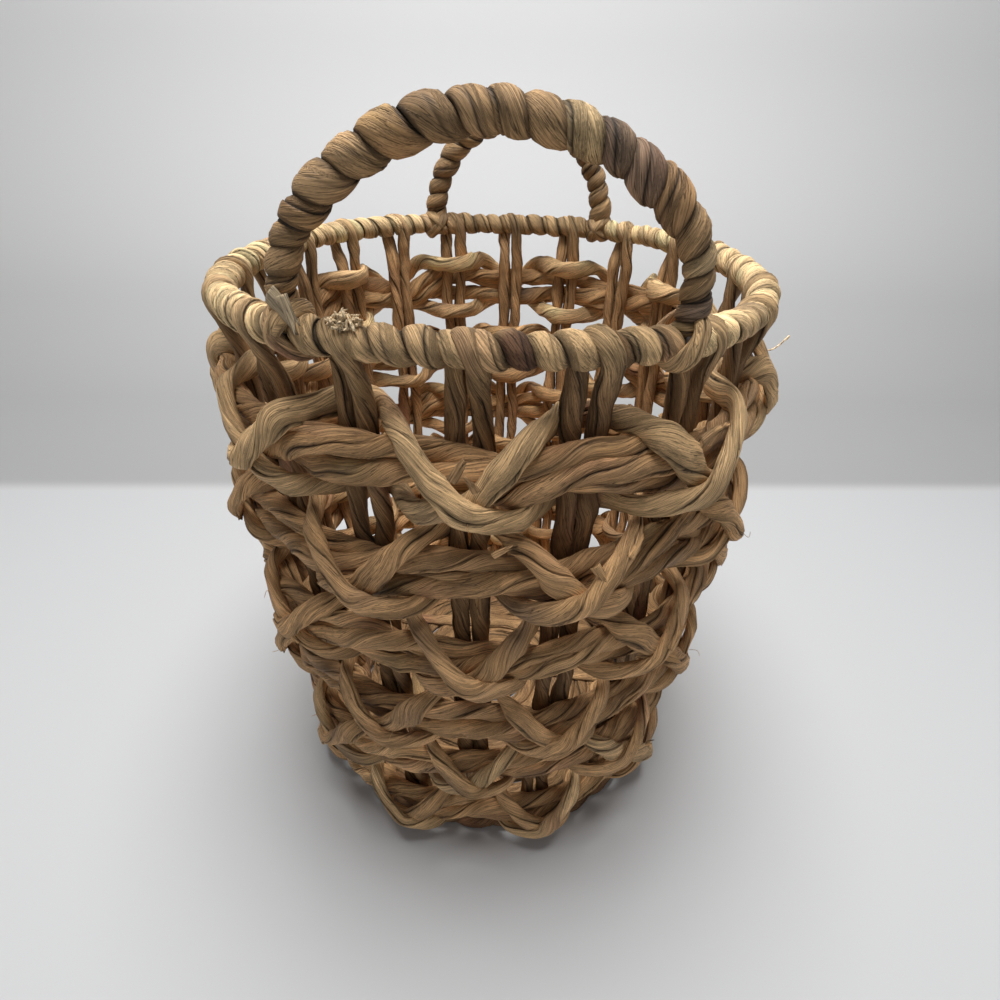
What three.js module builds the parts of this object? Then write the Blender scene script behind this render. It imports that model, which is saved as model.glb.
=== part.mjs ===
// Storage basket of twisted plant-fibre strand: an open weave of six bands on paired stakes,
// a wrapped wire rim and two wrapped loop handles. Millimetres, +Z up, the front at -Y.
// The origin is the middle of the underside.
import * as THREE from "three";

// Rim: centreline of its wire, a rounded square a little deeper than wide
const rim_height = 340;
const rim_half_width = 135;
const rim_half_depth = 151;
const rim_squareness = 2.3;
const rim_wire_diameter = 4;

// Stakes: half widths of their centreline at three heights below the rim
const base_half_width = 112;
const waist_half_width = 127;
const shoulder_half_width = 131;
const stake_width = 9;
const stake_thickness = 8;
const stake_fold_thickness = 4;
const fold_outer_turn = 42;
const fold_inner_turn = 15;
const neck_height = 23.5;
const lean_slack = 0.5;

// Weave: every repeat takes four stake pairs. The strands' heights are shares of the distance
// from one band to the next.
const weave_repeats = 5;
const band_count = 6;
const filler_share = 0.25;
const wrapper_share = 0.202;
const crossing_drop_share = 0.173;
const filler_depth = 10.5;
const wrapper_thickness = 6;
const crossing_slack = 3.2;

// Strand wound on the rim and handles. At the back it ends under the hoop, clear of a fold.
const rim_strand_width = 8.8;
const handle_strand_width = 8;
const winding_strand_thickness = 3.8;
const winding_slack = 1.1;
const front_turns = 12;
const back_turns = 10 + 1 / 6;
const side_turns = 14;
const handle_turns = 20;

// Handles: rounded arches of wire that stand on the hoop, a little to the right of its middle
const front_half_span = 71;
const back_half_span = 62;
const handle_shift = 5;
const handle_rise = 68;
const handle_roundness = 2.2;
const handle_wire_diameter = 4;
const hook_turn = 200;

// Base: a flat-bottomed edge ring, a floor coiled from one strand, and stays laid across it
const base_ring_width = 20;
const base_ring_height = 8;
const floor_loops = 8;
const floor_strand_width = 10;
const floor_strand_thickness = 4.4;
const floor_lift = 0.8;
const stay_count = 3;
const stay_spacing = 55;
const stay_width = 12;
const stay_thickness = 2.2;

const clearance = 0.3;

// Counts of faces
const winding_steps = 6;
const fold_steps = 6;
const hoop_steps = 60;
const handle_steps = 24;
const ring_steps = 40;
const loop_steps = 24;

// What follows from the sizes above
const depth_ratio = rim_half_depth / rim_half_width;
const stake_pairs = 4 * weave_repeats;
const stake_foot = base_ring_height + 2 * clearance;
const shoulder = rim_height - neck_height;
const band_pitch = (shoulder - stake_foot) / band_count;
const filler_height = filler_share * band_pitch;
const wrapper_width = wrapper_share * band_pitch;
const crossing_drop = crossing_drop_share * band_pitch;
const wrapper_reach = filler_height + 2 * clearance + wrapper_width / 2;
const highest_band = shoulder - wrapper_reach - wrapper_width / 2;
const waist = highest_band - ((band_count - 1) * band_pitch) / 2;
const winding_radius = rim_wire_diameter / 2 + winding_slack + winding_strand_thickness / 2;
const rim_radius = winding_radius + winding_strand_thickness / 2;
const up = new THREE.Vector3(0, 0, 1);

// Materials
function strand(colour, roughness) {
  return new THREE.MeshStandardMaterial({ color: colour, roughness, metalness: 0 });
}
const materials = {
  stake: strand(0x8a6b46, 0.85),
  filler: strand(0x9a7a52, 0.85),
  wrapper: strand(0xa98a60, 0.85),
  winding: strand(0xb3925f, 0.85),
  floor: strand(0x8f7048, 0.88),
  wire: new THREE.MeshStandardMaterial({ color: 0x5a5550, roughness: 0.6, metalness: 1 }),
};

const basket = new THREE.Group();

function add(name, geometry, material) {
  const mesh = new THREE.Mesh(geometry, material);
  mesh.name = name;
  basket.add(mesh);
}

// Oval of unit half width, measured along its length: u runs from 0 at the front, through the
// right side at a quarter, back to 1
const oval_samples = 2880;
const oval_table = [];
let oval_length = 0;
for (let i = 0; i <= oval_samples; i += 1) {
  const angle = (i / oval_samples) * 2 * Math.PI;
  const x = Math.sin(angle);
  const y = -Math.cos(angle);
  const reach = (Math.abs(x) ** rim_squareness + Math.abs(y / depth_ratio) ** rim_squareness)
    ** (-1 / rim_squareness);
  const point = new THREE.Vector2(x * reach, y * reach);
  if (i > 0) {
    oval_length += point.distanceTo(oval_table[i - 1].point);
  }
  oval_table.push({ point, along: oval_length });
}

function ovalPoint(u) {
  const target = (u - Math.floor(u)) * oval_length;
  let low = 0;
  let high = oval_samples;
  while (high - low > 1) {
    const middle = (low + high) >> 1;
    if (oval_table[middle].along > target) {
      high = middle;
    } else {
      low = middle;
    }
  }
  const a = oval_table[low];
  const b = oval_table[high];
  return a.point.clone().lerp(b.point, (target - a.along) / (b.along - a.along));
}

// Place on the oval of a given half width and height, with its outward and forward directions
function around(u, half_width, z) {
  const flat = ovalPoint(u);
  const out = new THREE.Vector3(
    Math.sign(flat.x) * Math.abs(flat.x) ** (rim_squareness - 1),
    Math.sign(flat.y) * Math.abs(flat.y / depth_ratio) ** (rim_squareness - 1) / depth_ratio,
    0,
  ).normalize();
  const along = up.clone().cross(out);
  const point = new THREE.Vector3(flat.x * half_width, flat.y * half_width, z);
  return { point, out, along };
}

// Half width of the stakes' centreline at a height
const profile = [
  [stake_foot, base_half_width],
  [waist, waist_half_width],
  [shoulder, shoulder_half_width],
  [rim_height, rim_half_width],
];

function stakeHalfWidth(z) {
  let width = profile[0][1];
  for (let i = 1; i < profile.length; i += 1) {
    const [z0, w0] = profile[i - 1];
    const [z1, w1] = profile[i];
    if (z > z0) {
      width = w0 + ((w1 - w0) * Math.min(z - z0, z1 - z0)) / (z1 - z0);
    }
  }
  return width;
}

// Closed body swept along a path of { point, out, thin }: a section is a list of [side, out].
// Each four-sided face is split along the diagonal that lies closer to the path.
function sweep(path, section, closed) {
  const count = path.length;
  const positions = [];
  path.forEach(({ point, out, thin = 1 }, i) => {
    const before = path[closed ? (i + count - 1) % count : Math.max(i - 1, 0)].point;
    const after = path[closed ? (i + 1) % count : Math.min(i + 1, count - 1)].point;
    const back = point.clone().sub(before).normalize();
    const ahead = after.clone().sub(point).normalize();
    const tangent = back.add(ahead).normalize();
    const side = out.clone().cross(tangent).normalize();
    const outward = tangent.clone().cross(side);
    section.forEach(([s, t]) => {
      const corner = point.clone().addScaledVector(side, s).addScaledVector(outward, t * thin);
      positions.push(corner.x, corner.y, corner.z);
    });
  });
  const sides = section.length;
  const faces = [];
  const corner = (i) => new THREE.Vector3().fromArray(positions, 3 * i);
  const middle = (a, b) => a.clone().lerp(b, 0.5);
  const spans = closed ? count : count - 1;
  for (let i = 0; i < spans; i += 1) {
    const here = i * sides;
    const next = ((i + 1) % count) * sides;
    const core = middle(path[i].point, path[(i + 1) % count].point);
    const bulge = (a, b) => middle(corner(a), corner(b)).distanceTo(core);
    for (let k = 0; k < sides; k += 1) {
      const l = (k + 1) % sides;
      if (bulge(here + l, next + k) < bulge(here + k, next + l)) {
        faces.push(here + k, here + l, next + k, here + l, next + l, next + k);
      } else {
        faces.push(here + k, here + l, next + l, here + k, next + l, next + k);
      }
    }
  }
  if (!closed) {
    const last = (count - 1) * sides;
    for (let k = 1; k < sides - 1; k += 1) {
      faces.push(0, k + 1, k, last, last + k, last + k + 1);
    }
  }
  const geometry = new THREE.BufferGeometry();
  geometry.setAttribute("position", new THREE.Float32BufferAttribute(positions, 3));
  geometry.setIndex(facingOut(positions, faces));
  geometry.computeVertexNormals();
  return geometry;
}

function facingOut(positions, faces) {
  const corner = (i) => new THREE.Vector3().fromArray(positions, 3 * i);
  let volume = 0;
  for (let i = 0; i < faces.length; i += 3) {
    volume += corner(faces[i]).dot(corner(faces[i + 1]).cross(corner(faces[i + 2])));
  }
  return volume > 0 ? faces : faces.reverse();
}

// Sections, as half sizes across the strand and through it
function roundSection(diameter, sides) {
  const points = [];
  for (let i = 0; i < sides; i += 1) {
    const angle = ((i + 0.5) / sides) * 2 * Math.PI;
    points.push([(Math.cos(angle) * diameter) / 2, (Math.sin(angle) * diameter) / 2]);
  }
  return points;
}

function flatSection(width, thickness, outer_share) {
  const w = width / 2;
  const t = thickness / 2;
  return [[-w, -t], [w, -t], [w * outer_share, t], [-w * outer_share, t]];
}

function bevelledSection(width, thickness) {
  const w = width / 2;
  const t = thickness / 2;
  return [[-w, 0], [-w * 0.6, -t], [w * 0.6, -t], [w, 0], [w * 0.6, t], [-w * 0.6, t]];
}

// Rim: the wire hoop
function rimAt(u) {
  return around(u, rim_half_width, rim_height);
}

function makeRimHoop() {
  const path = [];
  for (let i = 0; i < hoop_steps; i += 1) {
    path.push(rimAt(i / hoop_steps));
  }
  add("rim_hoop", sweep(path, roundSection(rim_wire_diameter, 5), true), materials.wire);
}

// Winding: one unbroken flat strand wound round a core, with straight ends. The core is a
// function of 0 to 1 that gives a point and two directions across it.
function winding(name, core, turns, width, radius) {
  const thickness = winding_strand_thickness;
  const steps = turns * winding_steps;
  const path = [];
  for (let i = 0; i <= steps; i += 1) {
    const { point, out, across } = core(i / steps);
    const angle = (i / winding_steps) * 2 * Math.PI;
    const away = out.clone().multiplyScalar(Math.cos(angle)).addScaledVector(across, -Math.sin(angle));
    path.push({ point: point.clone().addScaledVector(away, radius), out: away });
  }
  const straight = (end, inner) => {
    const direction = end.point.clone().sub(inner.point);
    direction.addScaledVector(end.out, -direction.dot(end.out)).normalize();
    return { point: end.point.clone().addScaledVector(direction, thickness), out: end.out };
  };
  path.unshift(straight(path[0], path[1]));
  path.push(straight(path[path.length - 1], path[path.length - 2]));
  const geometry = sweep(path, flatSection(width, thickness, 0.6), false);
  console.log(`${name}: ${turns.toFixed(1)} turns, least gap to itself ${selfGap(geometry).toFixed(2)} mm`);
  add(name, geometry, materials.winding);
}

// Least distance between corners and edge middles of one turn and those of the next
function selfGap(geometry) {
  const corners = geometry.getAttribute("position");
  const sides = 4;
  const rings = corners.count / sides;
  const pointsOf = (ring) => {
    const points = [];
    for (let k = 0; k < sides; k += 1) {
      const a = new THREE.Vector3().fromBufferAttribute(corners, ring * sides + k);
      const b = new THREE.Vector3().fromBufferAttribute(corners, ring * sides + ((k + 1) % sides));
      points.push(a, a.clone().lerp(b, 0.5));
    }
    return points;
  };
  let least = Infinity;
  for (let i = 0; i + winding_steps - 1 < rings; i += 1) {
    for (let j = i + winding_steps - 1; j <= Math.min(i + winding_steps + 1, rings - 1); j += 1) {
      for (const p of pointsOf(i)) {
        for (const q of pointsOf(j)) {
          least = Math.min(least, p.distanceTo(q));
        }
      }
    }
  }
  return least;
}

// Handle feet: where the handles' wires hook under the hoop, as places along the oval
const rim_length = oval_length * rim_half_width;
const foot_tries = 40;

function frontPlace(x) {
  let low = 0;
  let high = 0.25;
  for (let i = 0; i < foot_tries; i += 1) {
    const middle = (low + high) / 2;
    if (ovalPoint(middle).x * rim_half_width < Math.abs(x)) {
      low = middle;
    } else {
      high = middle;
    }
  }
  return Math.sign(x) * low;
}
const feet = {
  front: [handle_shift - front_half_span, handle_shift + front_half_span].map(frontPlace),
  back: [handle_shift - back_half_span, handle_shift + back_half_span].map((x) => 0.5 - frontPlace(x)),
};
const foot_room = (handle_wire_diameter + rim_strand_width + winding_strand_thickness) / 2 + clearance;
const foot_gap = foot_room / rim_length;
const end_gap = (rim_strand_width / 2 + winding_strand_thickness / 2 + clearance) / rim_length;
const joint = 0.25 + 0.5 / stake_pairs;

function makeRimWraps() {
  const [front_left, front_right] = feet.front;
  const [back_left, back_right] = feet.back;
  const stretches = [
    ["front", front_left + foot_gap, front_right - foot_gap, front_turns],
    ["right_front", front_right + foot_gap, joint - end_gap, side_turns],
    ["right_back", joint + end_gap, back_right - foot_gap, side_turns],
    ["back", back_right + foot_gap, back_left - foot_gap, back_turns],
    ["left_back", back_left + foot_gap, 0.5 + joint - end_gap, side_turns],
    ["left_front", 0.5 + joint + end_gap, 1 + front_left - foot_gap, side_turns],
  ];
  stretches.forEach(([place, start, end, turns]) => {
    const core = (t) => {
      const { point, out } = rimAt(start + (end - start) * t);
      return { point, out, across: up };
    };
    winding(`rim_wrap_${place}`, core, turns, rim_strand_width, winding_radius);
  });
}

// Handles: an arch of wire whose ends hook under the hoop, and the strand wound on it
const hook_step = 40;
const hook_radius = (rim_wire_diameter + handle_wire_diameter) / 2 + clearance;
const arch_start = rim_radius + clearance + handle_strand_width / 2;
const arch_samples = 40;

// Centreline of a handle between its feet: half of a rounded oval standing over the hoop
function archLine(place, half_span) {
  const lowest = Math.acos((arch_start / handle_rise) ** (handle_roundness / 2));
  const [left, right] = feet[place].map((foot) => rimAt(foot).point);
  const line = [];
  for (let i = -arch_samples; i <= arch_samples; i += 1) {
    const angle = (Math.abs(i) / arch_samples) * lowest;
    const x = Math.sign(i) * half_span * Math.sin(angle) ** (2 / handle_roundness);
    const z = rim_height + handle_rise * Math.cos(angle) ** (2 / handle_roundness);
    const y = THREE.MathUtils.mapLinear(x, -half_span, half_span, left.y, right.y);
    line.push(new THREE.Vector3(x + handle_shift, y, z));
  }
  return new THREE.CatmullRomCurve3(line);
}

function hook(foot) {
  const { point, out } = rimAt(foot);
  const points = [];
  for (let turn = 0; turn <= hook_turn; turn += hook_step) {
    const angle = THREE.MathUtils.degToRad(turn);
    const away = out.clone().multiplyScalar(Math.cos(angle)).addScaledVector(up, -Math.sin(angle));
    points.push({ point: point.clone().addScaledVector(away, hook_radius), out: away });
  }
  return points;
}

function handleWire(place, curve, outward) {
  const [left, right] = feet[place].map(hook);
  const path = left.reverse();
  for (let i = 0; i <= handle_steps; i += 1) {
    path.push({ point: curve.getPointAt(i / handle_steps), out: outward });
  }
  path.push(...right);
  return sweep(path, roundSection(handle_wire_diameter, 5), false);
}

function makeHandles() {
  [["front", front_half_span, -1], ["back", back_half_span, 1]].forEach(([place, half_span, side]) => {
    const curve = archLine(place, half_span);
    const outward = new THREE.Vector3(0, side, 0);
    add(`handle_wire_${place}`, handleWire(place, curve, outward), materials.wire);
    const across = new THREE.Vector3(0, 1, 0);
    const core = (t) => {
      const tangent = curve.getTangentAt(t);
      return { point: curve.getPointAt(t), out: tangent.clone().cross(across), across };
    };
    const radius = handle_wire_diameter / 2 + winding_slack + winding_strand_thickness / 2;
    winding(`handle_wrap_${place}`, core, handle_turns, handle_strand_width, radius);
  });
}

// Stakes: each pair is one strand hung over the rim, its two legs side by side. The right leg
// rises in front of the rim and the fold leans left, as the windings do.
function stakePair(index) {
  const u = index / stake_pairs;
  const beside = (stake_width + clearance) / 2;
  const heights = [stake_foot, waist, shoulder];
  const leg = (side) => heights.map((z) => {
    const { point, out, along } = around(u, stakeHalfWidth(z), z);
    return { point: point.addScaledVector(along, side * beside), out: out.multiplyScalar(side) };
  });
  const seat = rimAt(u);
  const thin = stake_fold_thickness / stake_thickness;
  const fold_step = THREE.MathUtils.degToRad(180 + fold_outer_turn + fold_inner_turn) / fold_steps;
  const fold_start = THREE.MathUtils.degToRad(-fold_outer_turn);
  const fold_radius = (rim_radius + 2 * clearance) / Math.cos(fold_step / 2) + stake_fold_thickness / 2;
  const fold = Array.from({ length: fold_steps + 1 }, (_, i) => {
    const angle = fold_start + fold_step * i;
    const away = seat.out.clone().multiplyScalar(Math.cos(angle)).addScaledVector(up, Math.sin(angle));
    const shift = beside * (1 - (2 * i) / fold_steps);
    const point = seat.point.clone().addScaledVector(away, fold_radius);
    return { point: point.addScaledVector(seat.along, shift), out: away, thin };
  });
  const path = [...leg(1), ...fold, ...leg(-1).reverse()];
  return sweep(path, flatSection(stake_width, stake_thickness, 1), false);
}

function makeStakes() {
  for (let i = 0; i < stake_pairs; i += 1) {
    add(`stake_pair_${String(i + 1).padStart(2, "0")}`, stakePair(i), materials.stake);
  }
}

// Bands: fillers run outside all the stakes, with a straight stretch on each pair
function strandSag() {
  let most = 0;
  for (let i = 0; i < stake_pairs; i += 1) {
    const u = i / stake_pairs;
    const half = 0.5 / stake_pairs;
    const here = around(u, rim_half_width, 0);
    const chord = around(u - half, rim_half_width, 0).point.add(around(u + half, rim_half_width, 0).point);
    most = Math.max(most, here.point.clone().addScaledVector(chord, -0.5).dot(here.out));
  }
  return most;
}
const sag = strandSag();
const filler_seat = stake_thickness / 2 + clearance + lean_slack + filler_depth / 2;
const filler_face = filler_seat + sag + filler_depth / 2;
const under_seat = filler_face + clearance + wrapper_thickness / 2;
const over_seat = under_seat + wrapper_thickness + clearance + crossing_slack;
const inside_seat = -(stake_thickness + wrapper_thickness) / 2 - clearance - lean_slack;
const inside_run = stake_width + 2 * clearance + wrapper_thickness / 2;

function filler(z) {
  const path = [];
  for (let i = 0; i < stake_pairs; i += 1) {
    const { point, out } = around((i + 0.5) / stake_pairs, stakeHalfWidth(z), z);
    path.push({ point: point.addScaledVector(out, filler_seat + sag), out });
  }
  return sweep(path, bevelledSection(filler_height, filler_depth), true);
}

// Wrappers pass inside every other pair, by turns above and below the fillers, and cross
// in front of the pairs between. Places are shares of the way from one inside pass to the next.
const over_place = 0.31;

function wrapper(z, first_inside, starts_high, crossing_seat) {
  const path = [];
  const passes = stake_pairs / 2;
  const inside_place = (inside_run * passes) / (oval_length * stakeHalfWidth(z));
  for (let i = 0; i < passes; i += 1) {
    const sign = (i % 2 === 0) === starts_high ? 1 : -1;
    const stations = [
      [inside_place, inside_seat, sign * wrapper_reach],
      [over_place, under_seat, sign * wrapper_reach],
      [0.5, crossing_seat, -crossing_drop],
      [1 - over_place, under_seat, -sign * wrapper_reach],
      [1 - inside_place, inside_seat, -sign * wrapper_reach],
    ];
    stations.forEach(([share, seat, rise]) => {
      const u = (first_inside + 2 * (i + share)) / stake_pairs;
      const { point, out } = around(u, stakeHalfWidth(z + rise), z + rise);
      path.push({ point: point.addScaledVector(out, seat), out });
    });
  }
  return sweep(path, flatSection(wrapper_width, wrapper_thickness, 0.8), true);
}

function makeBands() {
  for (let band = 1; band <= band_count; band += 1) {
    const z = highest_band - (band - 1) * band_pitch;
    const first_inside = band % 2;
    const lift = (filler_height + clearance) / 2;
    add(`band_${band}_filler_upper`, filler(z + lift), materials.filler);
    add(`band_${band}_filler_lower`, filler(z - lift), materials.filler);
    add(`band_${band}_wrapper_under`, wrapper(z, first_inside, true, under_seat), materials.wrapper);
    add(`band_${band}_wrapper_over`, wrapper(z, first_inside, false, over_seat), materials.wrapper);
  }
}

// Base: the edge ring under the stakes, and the coiled floor inside it
function makeBaseRing() {
  const path = [];
  for (let i = 0; i < ring_steps; i += 1) {
    path.push(around(i / ring_steps, base_half_width, base_ring_height / 2));
  }
  const section = flatSection(base_ring_height, base_ring_width, 1);
  add("base_ring", sweep(path, section, true), materials.floor);
}

function makeFloor() {
  const inner_half_width = base_half_width - base_ring_width / 2 - clearance;
  const outermost = inner_half_width - clearance - floor_strand_width / 2;
  const innermost = floor_strand_width;
  const height = floor_lift + floor_strand_thickness / 2;
  const path = [];
  for (let i = 0; i <= floor_loops * loop_steps; i += 1) {
    const half_width = innermost + ((outermost - innermost) * i) / (floor_loops * loop_steps);
    const { point } = around(i / loop_steps, half_width, height);
    path.push({ point, out: up });
  }
  add("floor_coil", sweep(path, flatSection(floor_strand_width, floor_strand_thickness, 1), false),
    materials.floor);
  const stay_height = floor_lift + floor_strand_thickness + clearance + stay_thickness / 2;
  const inner_half_depth = inner_half_width * depth_ratio;
  for (let i = 0; i < stay_count; i += 1) {
    const y = (i - (stay_count - 1) / 2) * stay_spacing;
    const edge = (Math.abs(y) + stay_width / 2) / inner_half_depth;
    const reach = inner_half_width * (1 - edge ** rim_squareness) ** (1 / rim_squareness);
    const line = [-reach, reach].map((x) => ({ point: new THREE.Vector3(x, y, stay_height), out: up }));
    add(`floor_stay_${i + 1}`, sweep(line, flatSection(stay_width, stay_thickness, 1), false),
      materials.floor);
  }
}

makeRimHoop();
makeRimWraps();
makeHandles();
makeStakes();
makeBands();
makeBaseRing();
makeFloor();

export default basket;
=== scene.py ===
"""Storage basket of twisted plant-fibre strand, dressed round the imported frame.

Every strand is a tube of folded ribbon: its rows of points follow the fibres round the twist,
its creases are real folds in the mesh, and one node material draws the fibres along them.
"""
import math

import bpy
import numpy as np
from mathutils import Matrix, Vector


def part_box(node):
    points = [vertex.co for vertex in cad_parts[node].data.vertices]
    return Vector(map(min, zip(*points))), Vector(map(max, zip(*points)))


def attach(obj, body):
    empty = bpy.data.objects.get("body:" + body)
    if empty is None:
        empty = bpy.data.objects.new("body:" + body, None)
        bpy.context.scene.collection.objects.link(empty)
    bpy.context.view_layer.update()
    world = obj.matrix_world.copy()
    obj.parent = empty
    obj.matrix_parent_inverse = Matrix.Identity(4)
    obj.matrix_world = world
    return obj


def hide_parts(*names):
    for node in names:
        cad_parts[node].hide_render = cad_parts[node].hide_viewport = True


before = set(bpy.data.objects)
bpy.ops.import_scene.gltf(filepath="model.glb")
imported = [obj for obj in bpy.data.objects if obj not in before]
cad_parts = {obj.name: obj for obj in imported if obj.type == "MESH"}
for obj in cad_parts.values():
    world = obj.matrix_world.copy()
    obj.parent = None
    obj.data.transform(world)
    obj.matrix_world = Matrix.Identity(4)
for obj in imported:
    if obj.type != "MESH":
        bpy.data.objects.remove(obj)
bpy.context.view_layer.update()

MM = 0.001
TAU = 2 * math.pi
UP = np.array([0.0, 0.0, 1.0])

# The oval that rim, stakes and bands follow, and how many stake pairs and bands there are
SQUARENESS = 2.3
OVAL_SAMPLES = 2880
STAKE_PAIRS = 20
BANDS = 6

# Half sizes of the strands, across and through
STAKE = (4.8 * MM, 4.1 * MM)
FILLER = (6.2 * MM, 4.8 * MM)
WRAPPER = (6.5 * MM, 3.7 * MM)
RING_STRAND = (4.6 * MM, 5.6 * MM)
FLOOR_STRAND = (5.2 * MM, 2.6 * MM)
STAY = (6.0 * MM, 1.9 * MM)

# Half thickness of the wires and half width of the base ring, as in the frame
WIRE_RADIUS = 2.0 * MM
RING_HALF_WIDTH = 10 * MM


def box_of(node):
    low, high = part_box(node)
    return np.array(low), np.array(high)


# Heights and half widths read from the frame
hoop_low, hoop_high = box_of("rim_hoop")
RIM_HEIGHT = (hoop_low[2] + hoop_high[2]) / 2
RIM_HALF_WIDTH = hoop_high[0] - WIRE_RADIUS
RIM_HALF_DEPTH = hoop_high[1] - WIRE_RADIUS
DEPTH_RATIO = RIM_HALF_DEPTH / RIM_HALF_WIDTH
ring_high = box_of("base_ring")[1]
BASE_TOP = ring_high[2]
BASE_HALF_WIDTH = ring_high[0] - RING_HALF_WIDTH


def band_middle(band):
    low = box_of(f"band_{band}_filler_lower")[0][2]
    high = box_of(f"band_{band}_filler_upper")[1][2]
    return (low + high) / 2


BAND_HEIGHTS = [band_middle(band) for band in range(1, BANDS + 1)]

# The wall's profile: half widths of the stakes' middle at the weave's waist and at the shoulder
SHOULDER = RIM_HEIGHT - 23.5 * MM
WAIST_HALF_WIDTH = 127 * MM
SHOULDER_HALF_WIDTH = 131 * MM


def unit(vectors):
    return vectors / np.linalg.norm(vectors, axis=-1, keepdims=True)


# The oval, measured along its length: 0 at the front, a quarter at the right side
def oval_table():
    angle = np.linspace(0, TAU, OVAL_SAMPLES + 1)
    x, y = np.sin(angle), -np.cos(angle)
    reach = (np.abs(x) ** SQUARENESS + np.abs(y / DEPTH_RATIO) ** SQUARENESS) ** (-1 / SQUARENESS)
    points = np.stack([x * reach, y * reach], axis=1)
    steps = np.hypot(*np.diff(points, axis=0).T)
    return points, np.concatenate([[0], np.cumsum(steps)])


OVAL_POINTS, OVAL_ALONG = oval_table()
OVAL_LENGTH = OVAL_ALONG[-1]
RIM_LENGTH = OVAL_LENGTH * RIM_HALF_WIDTH


def around(u, half_width, z, seat=0.0):
    """Points on the oval at shares u of its length, moved out by seat, and their outward."""
    values = (np.asarray(value, float) for value in (u, half_width, z, seat))
    u, half_width, z, seat = np.broadcast_arrays(*values)
    target = np.mod(u, 1.0) * OVAL_LENGTH
    x = np.interp(target, OVAL_ALONG, OVAL_POINTS[:, 0])
    y = np.interp(target, OVAL_ALONG, OVAL_POINTS[:, 1])
    out = unit(np.stack([
        np.sign(x) * np.abs(x) ** (SQUARENESS - 1),
        np.sign(y) * np.abs(y / DEPTH_RATIO) ** (SQUARENESS - 1) / DEPTH_RATIO,
        np.zeros_like(x),
    ], axis=-1))
    point = np.stack([x * half_width, y * half_width, z], axis=-1)
    return point + out * seat[..., None], out


def stake_half_width(z):
    heights = [BASE_TOP, (BAND_HEIGHTS[0] + BAND_HEIGHTS[-1]) / 2, SHOULDER, RIM_HEIGHT]
    widths = [BASE_HALF_WIDTH, WAIST_HALF_WIDTH, SHOULDER_HALF_WIDTH, RIM_HALF_WIDTH]
    return np.interp(z, heights, widths)


# Seeds of everything that is uneven
SEEDS = {"stake": 11, "sway": 19, "filler": 23, "wrapper": 37, "rim": 41, "handle": 53, "ring": 61,
         "floor": 67, "stay": 71, "lashing": 83, "loose": 97}


def dice(kind, *which):
    return np.random.default_rng([SEEDS[kind], *which])


# Seeded wander: waves as shares of the asked length, with their weights
DRIFT_WAVES = ((1.0, 0.5), (0.57, 0.3), (0.31, 0.2))
DRIFT_GAIN = 1.25


def drift(rng, along, length):
    """Smooth wander between about -1 and 1, over waves of about the given length."""
    total = np.zeros_like(along)
    for share, weight in DRIFT_WAVES:
        phase = rng.uniform(0, TAU)
        stretch = rng.uniform(0.85, 1.15)
        total += weight * np.sin(TAU * along / (length * share * stretch) + phase)
    return total * DRIFT_GAIN


# Routes: rows of points with their outward directions
def frame_along(points, outward):
    """Side and outward directions square to a route."""
    tangent = unit(np.gradient(points, axis=0))
    side = unit(np.cross(outward, tangent))
    return side, np.cross(tangent, side)


def path_length(points):
    return np.concatenate([[0], np.cumsum(np.linalg.norm(np.diff(points, axis=0), axis=1))])


def read_off(places, along, rows):
    """Rows of values at places along a route."""
    return np.stack([np.interp(places, along, column) for column in rows.T], axis=-1)


def resample(points, step, *others):
    """Points at even steps of length, with other rows of values carried along."""
    along = path_length(points)
    count = max(int(along[-1] / step) + 1, 4)
    places = np.linspace(0, along[-1], count)
    return places, [read_off(places, along, rows) for rows in (points, *others)]


def smooth(rows, passes):
    """Rounds a route's corners, its ends kept."""
    rows = rows.copy()
    for _ in range(passes):
        rows[1:-1] = 0.25 * rows[:-2] + 0.5 * rows[1:-1] + 0.25 * rows[2:]
    return rows


# Waves of a band on its way round: how many, and how far each lifts it
SWAY_WAVES = ((1, 1.2 * MM), (2, 1.0 * MM), (3, 0.8 * MM), (5, 0.5 * MM))
SWAY_OUT_SHARE = 0.5


def band_sway(band, u):
    """How far a band strays up and out on its way round, the same for all its strands."""
    rng = dice("sway", band)
    strays = np.zeros((2, *np.shape(u)))
    for waves, reach in SWAY_WAVES:
        phase = rng.uniform(0, TAU, 2)
        strays[0] += reach * np.sin(TAU * waves * u + phase[0])
        strays[1] += SWAY_OUT_SHARE * reach * np.sin(TAU * waves * u + phase[1])
    return strays


# The folds round a strand: each is a groove with the raised edge of the next panel of leaf beside
# it. Offsets are in radians, depths and painted shades are shares of the full fold.
FOLD_OFFSETS = (-0.30, -0.10, 0.0, 0.08, 0.24)
FOLD_DEPTHS = (-0.20, -0.60, -1.0, 0.20, 0.38)
PAINTED_FOLD_SHADES = (0.12, 0.60, 1.0, 0.30, 0.0)
FOLD_SCATTER = 0.3
PANEL_DEPTH = 0.25
PANEL_HALF_TURN = 1.25
FILL_COLUMNS = 2


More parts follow.
